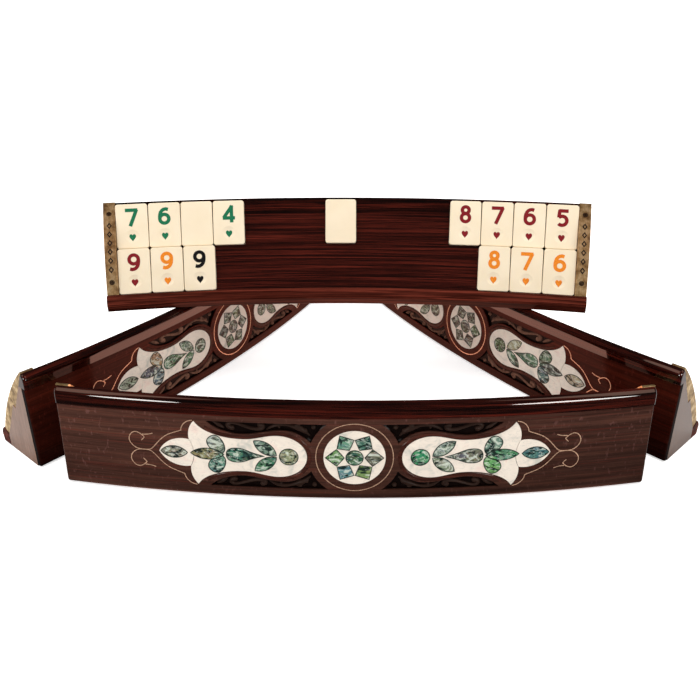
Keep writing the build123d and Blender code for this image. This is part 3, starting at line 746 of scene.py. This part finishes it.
def outer_loops(rack, node_name):
    """The outlines of a node's outer faces, as closed lists of points in the rack's own frame."""
    inverse = rack_frame[rack].inverted()
    turn_back = inverse.to_3x3()
    mesh = nodes[node_name].data
    counted = {}
    for polygon in mesh.polygons:
        normal = turn_back @ polygon.normal
        if normal.y > -0.8:
            continue
        keys = [tuple(round(c, 6) for c in inverse @ mesh.vertices[v].co) for v in polygon.vertices]
        for start, end in zip(keys, keys[1:] + keys[:1]):
            edge = frozenset((start, end))
            counted[edge] = counted.get(edge, 0) + 1
    neighbours = {}
    for edge, times in counted.items():
        if times == 1 and len(edge) == 2:
            start, end = edge
            neighbours.setdefault(start, []).append(end)
            neighbours.setdefault(end, []).append(start)
    loops = []
    unused = set(neighbours)
    while unused:
        first = min(unused)
        loop = [first]
        unused.discard(first)
        while True:
            following = [point for point in neighbours[loop[-1]] if point in unused]
            if not following:
                break
            loop.append(following[0])
            unused.discard(following[0])
        if len(loop) > 3:
            loops.append([Vector(point) for point in loop])
    return loops


def line_curve(name, loops, radius):
    """Round lines along closed lists of points, as one curve."""
    curve = bpy.data.curves.new(name, "CURVE")
    curve.dimensions = "3D"
    curve.bevel_depth = radius
    curve.bevel_resolution = 1
    for loop in loops:
        spline = curve.splines.new("POLY")
        spline.points.add(len(loop) - 1)
        for point, place in zip(spline.points, loop):
            point.co = (*place, 1.0)
        spline.use_cyclic_u = True
    return curve


def mesh_from_curve(curve):
    """The curve's surface as a mesh."""
    holder = bpy.data.objects.new("holder", curve)
    scene.collection.objects.link(holder)
    return as_mesh(holder)


for rack in RACKS:
    loops = outer_loops(rack, rack + "_abalone_inlay")
    lines = mesh_from_curve(line_curve("filler", loops, FILLER_RADIUS))
    add_object(rack + "_shell_filler", lines, filler_line, rack, rack_frame[rack])


# --- The carving in the recesses, and the bead round each cartouche ----------------------------------
RECESS_DEPTH = 2.2 * MM
CARVING_VOXEL = 0.26 * MM
ARCH_STEPS = 8                    # of a ridge's rounded back
RIDGE_STEPS = 6                   # from one of a ridge's points to the next
BEAD_STEPS = 8
RIDGE_ROOT = 0.15                 # how far ridges and the bead go below their ground, in millimetres
BEAD_ROOT = 0.1
KNOB_LIFT = 0.1                   # of a knob's middle over the ground, and its most half height
KNOB_HALF_HEIGHT = 1.85

# Ridges' points are (distance from the medallion, height over its axis, half width, relief), and knobs are
# ((distance, height), radius), in millimetres.
VINE_RIDGES = [
    [
        (98.4, 25.2, 0.4, 0.6), (96.0, 24.2, 1.2, 1.2), (93.0, 22.2, 1.5, 1.5),
        (90.2, 20.4, 0.5, 0.7),
    ],
    [
        (84.4, 20.6, 1.5, 1.6), (86.8, 21.4, 1.6, 1.8), (87.6, 23.3, 1.6, 1.8),
        (85.6, 24.8, 1.3, 1.6), (81.6, 24.5, 1.1, 1.4), (76.5, 22.8, 1.2, 1.4),
        (71.5, 21.2, 1.3, 1.5), (67.2, 20.6, 1.4, 1.6), (63.8, 21.3, 1.5, 1.7),
        (62.8, 23.2, 1.3, 1.6), (64.4, 24.6, 1.1, 1.5),
    ],
    [
        (60.6, 20.4, 0.5, 0.7), (57.8, 22.4, 1.0, 1.3), (54.0, 24.2, 1.3, 1.5),
        (49.5, 24.9, 1.3, 1.5), (45.2, 24.3, 1.1, 1.4), (41.8, 23.2, 1.5, 1.6),
        (38.6, 22.4, 2.3, 1.8), (35.6, 20.8, 1.8, 1.7), (33.0, 18.7, 1.2, 1.3),
        (30.8, 16.4, 0.5, 0.7),
    ],
    [
        (40.6, 24.6, 0.5, 0.8), (39.0, 24.9, 0.9, 1.3), (37.0, 25.2, 0.4, 0.6),
    ],
]
VINE_KNOBS = [
    ((84.9, 20.9), 2.1), ((65.0, 23.9), 2.0), ((34.2, 20.4), 1.9), ((28.2, 23.4), 1.8),
    ((52.0, 22.6), 0.9),
]
BEAD_RIDGE = [
    (104.0, 22.4, 0.5, 0.1), (97.4, 18.0, 1.2, 0.4), (88.0, 15.6, 1.35, 0.45),
    (77.3, 14.9, 1.35, 0.45), (65.0, 16.6, 1.35, 0.45), (53.5, 18.5, 1.35, 0.45),
    (43.0, 16.4, 1.35, 0.45), (36.4, 12.0, 1.3, 0.42), (32.8, 6.9, 1.2, 0.4),
    (31.2, 0.0, 1.1, 0.38),
]
BEAD_RIDGE += [(along, -over, half, relief) for along, over, half, relief in reversed(BEAD_RIDGE[:-1])]


def smooth_path(points, steps):
    """Points on a Catmull-Rom spline through the given ones, whatever they hold."""
    ends = [points[0], *points, points[-1]]
    path = []
    for a, b, c, d in zip(ends, ends[1:], ends[2:], ends[3:]):
        for index in range(steps):
            t = index / steps
            place = []
            for p, q, r, s in zip(a, b, c, d):
                bend = (2 * p - 5 * q + 4 * r - s) * t * t + (3 * q - p - 3 * r + s) * t**3
                place.append(0.5 * (2 * q + (r - p) * t + bend))
            path.append(place)
    return path + [list(points[-1])]


def add_ridge(mesh, points, steps, root):
    """A closed ridge with a rounded back along points, in millimetres, going root below its ground."""
    path = smooth_path(points, steps)
    arch = [(cos(pi * k / ARCH_STEPS), sin(pi * k / ARCH_STEPS)) for k in range(ARCH_STEPS + 1)]
    rings = []
    for index, (x, y, half, relief) in enumerate(path):
        before = path[max(index - 1, 0)]
        after = path[min(index + 1, len(path) - 1)]
        along = Vector((after[0] - before[0], after[1] - before[1], 0)).normalized()
        side = Vector((-along.y, along.x, 0))
        section = [(-half, -root), *((-half * c, relief * s) for c, s in arch), (half, -root)]
        rings.append([mesh.verts.new(Vector((x, y, up)) + side * across) for across, up in section])
    for one, other in zip(rings, rings[1:]):
        for index in range(len(one)):
            following = (index + 1) % len(one)
            mesh.faces.new((one[index], one[following], other[following], other[index]))
    mesh.faces.new(rings[0])
    mesh.faces.new(rings[-1])


def mesh_of(made, name):
    """A bmesh as mesh data, scaled from millimetres, with its normals outwards."""
    bmesh.ops.scale(made, verts=made.verts, vec=(MM, MM, MM))
    bmesh.ops.recalc_face_normals(made, faces=made.faces)
    data = bpy.data.meshes.new(name)
    made.to_mesh(data)
    made.free()
    return data


def carved_vine():
    """One recess's vine, its ridges and knobs melted into one carved form on flat ground."""
    made = bmesh.new()
    for ridge in VINE_RIDGES:
        add_ridge(made, ridge, RIDGE_STEPS, RIDGE_ROOT)
    for (x, y), radius in VINE_KNOBS:
        ball = Matrix.Diagonal((radius, radius, min(KNOB_HALF_HEIGHT, radius), 1))
        shape = Matrix.Translation((x, y, KNOB_LIFT)) @ ball
        bmesh.ops.create_icosphere(made, subdivisions=3, radius=1.0, matrix=shape)
    holder = bpy.data.objects.new("vine", mesh_of(made, "vine"))
    scene.collection.objects.link(holder)
    melt = holder.modifiers.new("melt", "REMESH")
    melt.mode = "VOXEL"
    melt.voxel_size = CARVING_VOXEL
    soften = holder.modifiers.new("soften", "SMOOTH")
    soften.factor = 0.6
    soften.iterations = 2
    return as_mesh(holder)


def bent_copies(name, flat, sides, ground):
    """Flat ornament bent onto a rack's back, for each (side, up or down), with its ground below the face."""
    made = bmesh.new()
    for side, upright in sides:
        corners = []
        for vertex in flat.vertices:
            x, y, z = vertex.co
            corners.append(made.verts.new(on_back(side * x, ORNAMENT_HEIGHT + upright * y, z - ground)))
        for polygon in flat.polygons:
            turned = [corners[index] for index in polygon.vertices]
            made.faces.new(turned if side * upright > 0 else turned[::-1])
    for face in made.faces:
        face.smooth = True
    data = bpy.data.meshes.new(name)
    made.to_mesh(data)
    made.free()
    return data


vine = carved_vine()
bead_form = bmesh.new()
add_ridge(bead_form, BEAD_RIDGE, BEAD_STEPS, BEAD_ROOT)
bead = mesh_of(bead_form, "bead")
carving_shape = bent_copies("carving", vine, ((1, 1), (-1, 1), (1, -1), (-1, -1)), RECESS_DEPTH)
bead_shape = bent_copies("beads", bead, ((1, 1), (-1, 1)), 0.0)
for rack in RACKS:
    seed = rack_seed(rack)
    place = rack_frame[rack]
    carving = add_object(rack + "_carved_vines", carving_shape.copy(), carving_wood(rack, seed), rack, place)
    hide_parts(rack + "_scroll_carving")
    beads = add_object(rack + "_cartouche_beads", bead_shape.copy(), bead_wood(rack, seed), rack, place)

# --- Engraving on the brass stops --------------------------------------------------------------------
STOP_ANGLE = radians(10.432)
STOP_TOP = Vector((7.02, 80.09)) * MM         # of the stop's rounded front: depth from the back, height
STOP_FOOT = Vector((53.14, 13.56)) * MM
STOP_BULGE = 4.9 * MM
SCREW_SHARES = (0.13, 0.87)
SCREW_RING = (2.15 * MM, 1.72 * MM)           # outer and inner radius
LOZENGE_SHARES = (0.265, 0.36, 0.455, 0.55, 0.645, 0.74)
LOZENGE_OUTER = (2.2 * MM, 3.0 * MM)          # half its width, half its height
LOZENGE_INNER = (0.95 * MM, 1.35 * MM)
ENGRAVING_DEPTH = 0.12 * MM
ENGRAVING_STAND = 0.05 * MM


def on_stop(share, end):
    """A matrix on a stop's front, at a share of its height from its top: X across, Y up and Z out of it."""
    chord = STOP_FOOT - STOP_TOP
    radius = (chord.length**2 / 4 + STOP_BULGE**2) / (2 * STOP_BULGE)
    outward = Vector((-chord.y, chord.x)).normalized()
    centre = (STOP_TOP + STOP_FOOT) / 2 - outward * (radius - STOP_BULGE)
    point = STOP_TOP + chord * share
    slide = (share - 0.5) * chord.length
    point += outward * (sqrt(radius**2 - slide**2) - (radius - STOP_BULGE))
    normal = (point - centre).normalized()
    angle = end * STOP_ANGLE
    inward = Vector((-sin(angle), cos(angle), 0))
    place = Vector((sin(angle), -cos(angle), 0)) * (ARC_RADIUS - point.x) + Vector((0, ARC_RADIUS, point.y))
    out = inward * normal.x + Vector((0, 0, normal.y))
    up = Vector((0, 0, 1))
    across = up.cross(out).normalized()
    up = out.cross(across)
    return Matrix.Translation(place) @ Matrix((across, up, out)).transposed().to_4x4()


def add_ring(made, place, outer, inner):
    """A flat closed ring between two outlines with as many points, let into a surface at a place."""
    outer_top, inner_top, outer_foot, inner_foot = (
        [made.verts.new(place @ Vector((x, y, height))) for x, y in line]
        for height in (ENGRAVING_STAND, ENGRAVING_STAND - ENGRAVING_DEPTH)
        for line in (outer, inner)
    )
    walls = (outer_top, inner_top), (inner_foot, outer_foot), (outer_foot, outer_top), (inner_top, inner_foot)
    for index in range(len(outer)):
        following = (index + 1) % len(outer)
        for a, b in walls:
            made.faces.new((a[index], a[following], b[following], b[index]))


def round_outline(radius, count=28):
    return [(radius * cos(2 * pi * k / count), radius * sin(2 * pi * k / count)) for k in range(count)]


def lozenge(half_width, half_height):
    return [(half_width, 0), (0, half_height), (-half_width, 0), (0, -half_height)]


for rack in RACKS:
    marks = bmesh.new()
    for end in (-1, 1):
        for share in SCREW_SHARES:
            add_ring(marks, on_stop(share, end), *(round_outline(radius) for radius in SCREW_RING))
        for share in LOZENGE_SHARES:
            add_ring(marks, on_stop(share, end), lozenge(*LOZENGE_OUTER), lozenge(*LOZENGE_INNER))
    bmesh.ops.recalc_face_normals(marks, faces=marks.faces)
    mark_data = bpy.data.meshes.new("stop_marks")
    marks.to_mesh(mark_data)
    marks.free()
    add_object(rack + "_stop_engraving", mark_data, engraving, rack, rack_frame[rack])

# --- Floor, light and camera ------------------------------------------------------------------------
FLOOR_SIZE = 60.0
PHOTO_SIZE = 700                  # pixels, as the next two
PHOTO_FOCUS = 767.4
PRINCIPAL_POINT = (352.5, 303.4)
SENSOR = 36.0                     # millimetres
CAMERA_PITCH = radians(24.21)
CAMERA_YAW = radians(0.33)
CAMERA_FROM_FRONT_RACK = Vector((1.1, -440.4, 351.5)) * MM
SKY_LIGHT = 1.06
SKY_IN_GLOSS = 0.05
SKY_COLOUR = (1.0, 0.985, 0.97, 1.0)
FLOOR_DROP = 0.2 * MM
FLOOR_COLOUR = (0.96, 0.96, 0.96)
FLOOR_IN_GLOSS = 0.75             # its brightness in polished surfaces, beside and behind the set
ROOM_IN_GLOSS = 0.04              # in front of the set and inside it, where they mirror a dark room
FLOOR_GLOW = 0.58                 # keeps the floor near white for the camera between the racks
# painted reflection: the floor between the racks glows warm, but only in polished surfaces, though no lamp is
# there
PAINTED_GLOW_IN_GLOSS = 3.4         # in the side rails' lacquer, which mirrors the table between them
# the colour of that painted reflection
WARM_PAINTED_REFLECTION = (1.0, 0.47, 0.35)

# Where the bright floor and the warm painted reflection begin and end in polished surfaces, in metres: to either
# side of the set's middle, and from the front (below zero) to the back.
BRIGHT_SIDES = (0.22, 0.26)
BRIGHT_FRONT = (-0.21, -0.195)    # the glow begins there too
GLOW_SIDES = (0.12, 0.22)
GLOW_BACK = (0.10, 0.18)

floor_mesh = bpy.data.meshes.new("floor")
half_floor = FLOOR_SIZE / 2
corner_signs = ((-1, -1), (1, -1), (1, 1), (-1, 1))
floor_mesh.from_pydata([(x * half_floor, y * half_floor, 0) for x, y in corner_signs], [], [(0, 1, 2, 3)])
floor = bpy.data.objects.new("floor", floor_mesh)
scene.collection.objects.link(floor)
floor_tree = Tree("floor_white")
glossy_ray = floor_tree.node("ShaderNodeLightPath").outputs["Is Glossy Ray"]
camera_ray = floor_tree.node("ShaderNodeLightPath").outputs["Is Camera Ray"]
floor_x, floor_y, _ = floor_tree.split(floor_tree.place())
floor_side = floor_tree.math("ABSOLUTE", floor_x)
ramp_start = 0.5                  # added to y, as a ramp holds no place below zero
floor_back = floor_tree.math("ADD", floor_y, ramp_start)
beside = floor_tree.ramp(floor_side, (BRIGHT_SIDES[0], 0.0), (BRIGHT_SIDES[1], FLOOR_IN_GLOSS))
behind = floor_tree.ramp(floor_back, (BRIGHT_FRONT[0] + ramp_start, 0.0), (BRIGHT_FRONT[1] + ramp_start, 1.0))
between = floor_tree.ramp(floor_side, (GLOW_SIDES[0], 1.0), (GLOW_SIDES[1], 0.0))
before = floor_tree.ramp(floor_back, (GLOW_BACK[0] + ramp_start, 1.0), (GLOW_BACK[1] + ramp_start, 0.0))
bright = floor_tree.math("MAXIMUM", floor_tree.math("MULTIPLY", beside, behind), ROOM_IN_GLOSS)
floor_tree.set(Base_Color=floor_tree.mix(glossy_ray, FLOOR_COLOUR, bright))
floor_tree.set(Roughness=0.8, Specular_IOR_Level=0.0)
# painted reflection: the warm glow between the racks, seen only by glossy rays
painted_reflection_area = floor_tree.math("MULTIPLY", floor_tree.math("MULTIPLY", between, behind), before)
painted_reflection_glow = floor_tree.math("MULTIPLY", painted_reflection_area, PAINTED_GLOW_IN_GLOSS)
white_glow = floor_tree.math("MULTIPLY", camera_ray, FLOOR_GLOW)
floor_tree.set(Emission_Color=floor_tree.mix(glossy_ray, (1.0, 1.0, 1.0), WARM_PAINTED_REFLECTION))
in_gloss = floor_tree.math("MULTIPLY", glossy_ray, painted_reflection_glow)
floor_tree.set(Emission_Strength=floor_tree.math("ADD", white_glow, in_gloss))
floor_mesh.materials.append(floor_tree.material)
floor.location.z = -FLOOR_DROP


def softbox(name, place, target, size, power, colour, shape):
    """A soft light that faces a target."""
    lamp = bpy.data.lights.new(name, "AREA")
    lamp.shape = shape
    lamp.size, lamp.size_y = size
    lamp.energy = power
    lamp.color = colour
    made = bpy.data.objects.new(name, lamp)
    made.location = place
    made.rotation_euler = (Vector(target) - Vector(place)).to_track_quat("-Z", "Y").to_euler()
    scene.collection.objects.link(made)
    return made


def gloss_only(lamp):
    """A light that shows in polished surfaces but adds nothing to the light on them."""
    lamp.visible_diffuse = False
    lamp.visible_transmission = False


LAMP_WHITE = (1.0, 0.97, 0.93)
LAMP_WARM = (1.0, 0.62, 0.48)

# The lamps that show in gloss: place, target, size in metres, power in watts, colour and shape. The
# streaks lie along the front rail, and the corners warm its ends.
GLOSS_LAMPS = {
    "streak_left": ((-1.00, -1.66, 0.165), (-0.15, -0.2, 0.08), (0.42, 0.30), 7.5, LAMP_WHITE, "ELLIPSE"),
    "streak_right": ((0.99, -1.67, 0.165), (0.15, -0.2, 0.08), (0.58, 0.30), 10.5, LAMP_WHITE, "ELLIPSE"),
    "corner_left": ((-1.15, -0.96, 1.2), (0, -0.15, 0.08), (0.8, 1.3), 8, LAMP_WARM, "RECTANGLE"),
    "corner_right": ((1.15, -0.96, 1.2), (0, -0.15, 0.08), (0.8, 1.3), 8, LAMP_WARM, "RECTANGLE"),
}

overhead = softbox("overhead", (0, -0.3, 2.2), (0, 0, 0), (1.6, 1.2), 14, LAMP_WHITE, "RECTANGLE")
overhead.visible_glossy = False
for name, (place, target, size, power, colour, shape) in GLOSS_LAMPS.items():
    gloss_only(softbox(name, place, target, size, power, colour, shape))

world = bpy.data.worlds.new("studio")
world.use_nodes = True
sky = world.node_tree.nodes["Background"]
ray_kind = world.node_tree.nodes.new("ShaderNodeLightPath")
sky_strength = world.node_tree.nodes.new("ShaderNodeMapRange")
sky_strength.inputs["To Min"].default_value = SKY_LIGHT
sky_strength.inputs["To Max"].default_value = SKY_IN_GLOSS
sky.inputs["Color"].default_value = SKY_COLOUR
world.node_tree.links.new(ray_kind.outputs["Is Glossy Ray"], sky_strength.inputs["Value"])
world.node_tree.links.new(sky_strength.outputs[0], sky.inputs["Strength"])
scene.world = world
scene.view_settings.view_transform = "Standard"

camera_data = bpy.data.cameras.new("camera")
camera_data.sensor_width = SENSOR
camera_data.lens = PHOTO_FOCUS / PHOTO_SIZE * SENSOR
camera_data.shift_x = (PHOTO_SIZE / 2 - PRINCIPAL_POINT[0]) / PHOTO_SIZE
camera_data.shift_y = (PRINCIPAL_POINT[1] - PHOTO_SIZE / 2) / PHOTO_SIZE
camera = bpy.data.objects.new("camera", camera_data)
camera.location = front_place + CAMERA_FROM_FRONT_RACK
camera.rotation_euler = (pi / 2 - CAMERA_PITCH, 0, CAMERA_YAW)
scene.collection.objects.link(camera)
scene.camera = camera
